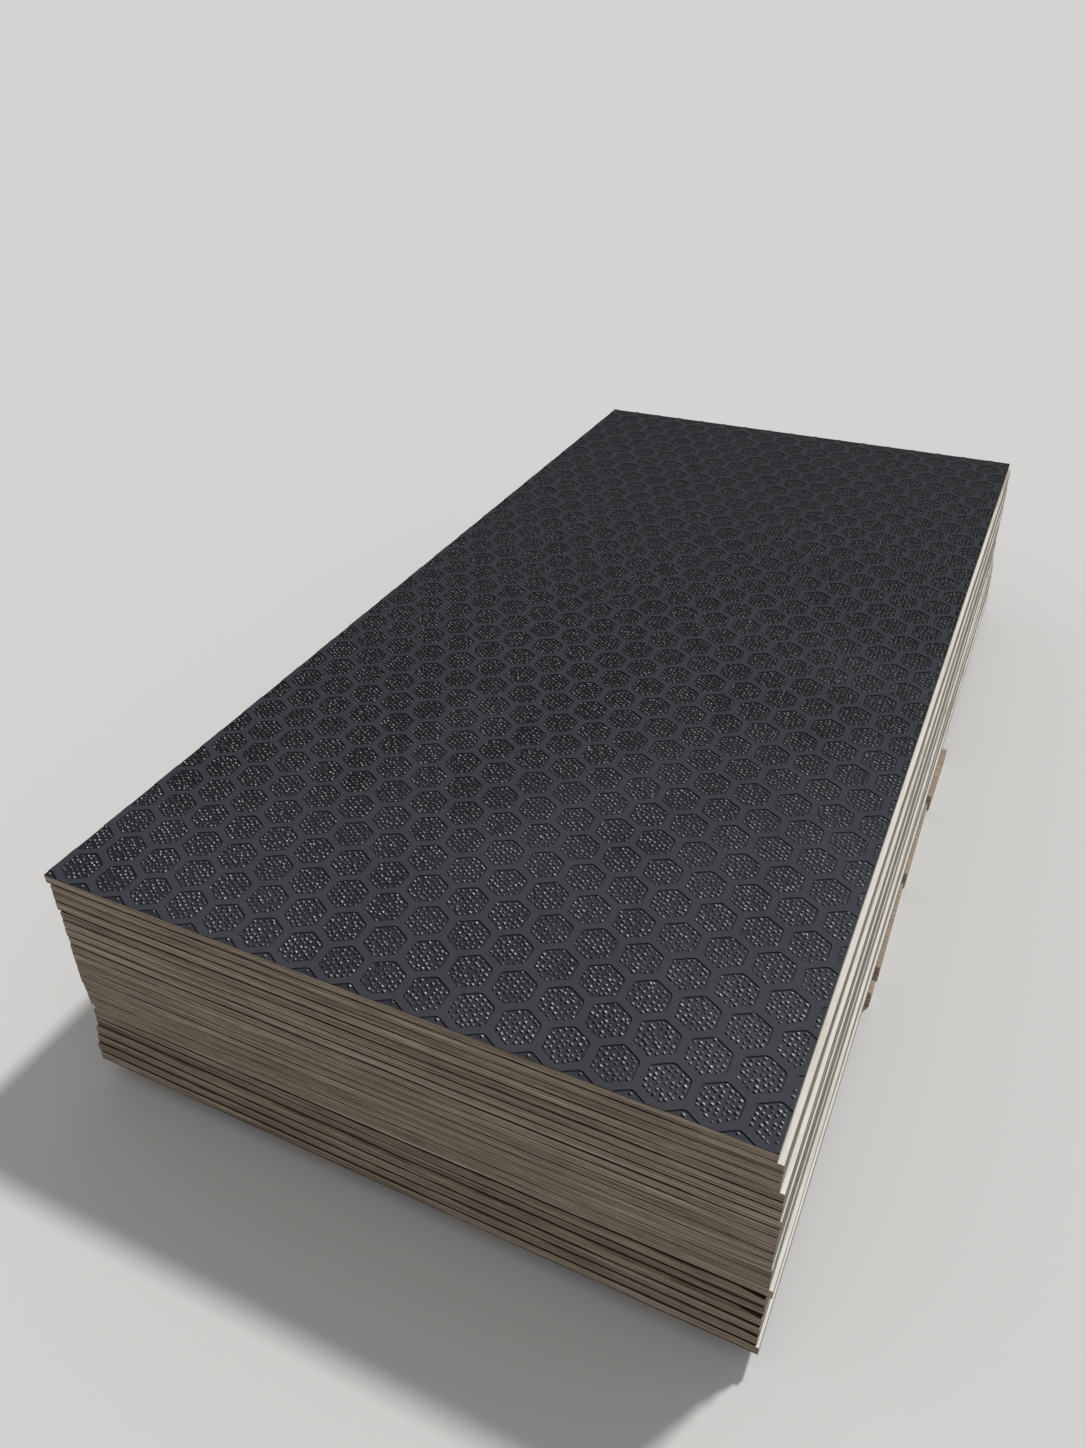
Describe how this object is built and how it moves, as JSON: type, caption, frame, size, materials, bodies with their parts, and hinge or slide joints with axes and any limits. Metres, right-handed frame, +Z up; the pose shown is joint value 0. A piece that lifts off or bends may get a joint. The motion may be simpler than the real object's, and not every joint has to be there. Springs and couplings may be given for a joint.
{
  "type": "stack of plywood sheets",
  "caption": "Stack of full-size plywood sheets on timber bearers, with a dark hexagon-pattern anti-slip film on the top sheet.",
  "frame": {"origin": "on the floor, under the middle of the footprint of the sheets and bearers", "axes": "+X across the sheets, +Y along them, away from the end that the picture looks at, +Z up"},
  "size_m": [1.2574, 2.4732, 0.452],
  "materials": {
    "plywood": "sawn plywood edges and bare veneer faces, dry and matt",
    "phenolic_film": "dark grey phenolic film, satin lands and matt embossed recesses",
    "bearer_timber": "planed softwood, weathered tan"
  },
  "bodies": {
    "root": {"sheet_01": "plywood", "sheet_02": "plywood", "sheet_03": "plywood", "sheet_04": "plywood", "sheet_05": "plywood", "sheet_06": "plywood", "sheet_07": "plywood", "sheet_08": "plywood", "sheet_09": "plywood", "sheet_10": "plywood", "sheet_11": "plywood", "sheet_12": "plywood", "sheet_13": "plywood", "sheet_14": "plywood", "sheet_15": "plywood", "sheet_16": "plywood", "sheet_17": "plywood", "sheet_18": "plywood", "sheet_19": "plywood", "sheet_20": "plywood", "sheet_21": "plywood", "sheet_22": "plywood", "sheet_23": "plywood", "top_sheet_film": "phenolic_film", "bearer_batten": "bearer_timber", "bearer_plank_near": "bearer_timber", "bearer_plank_middle": "bearer_timber", "bearer_plank_far": "bearer_timber"}
  },
  "joints": []
}
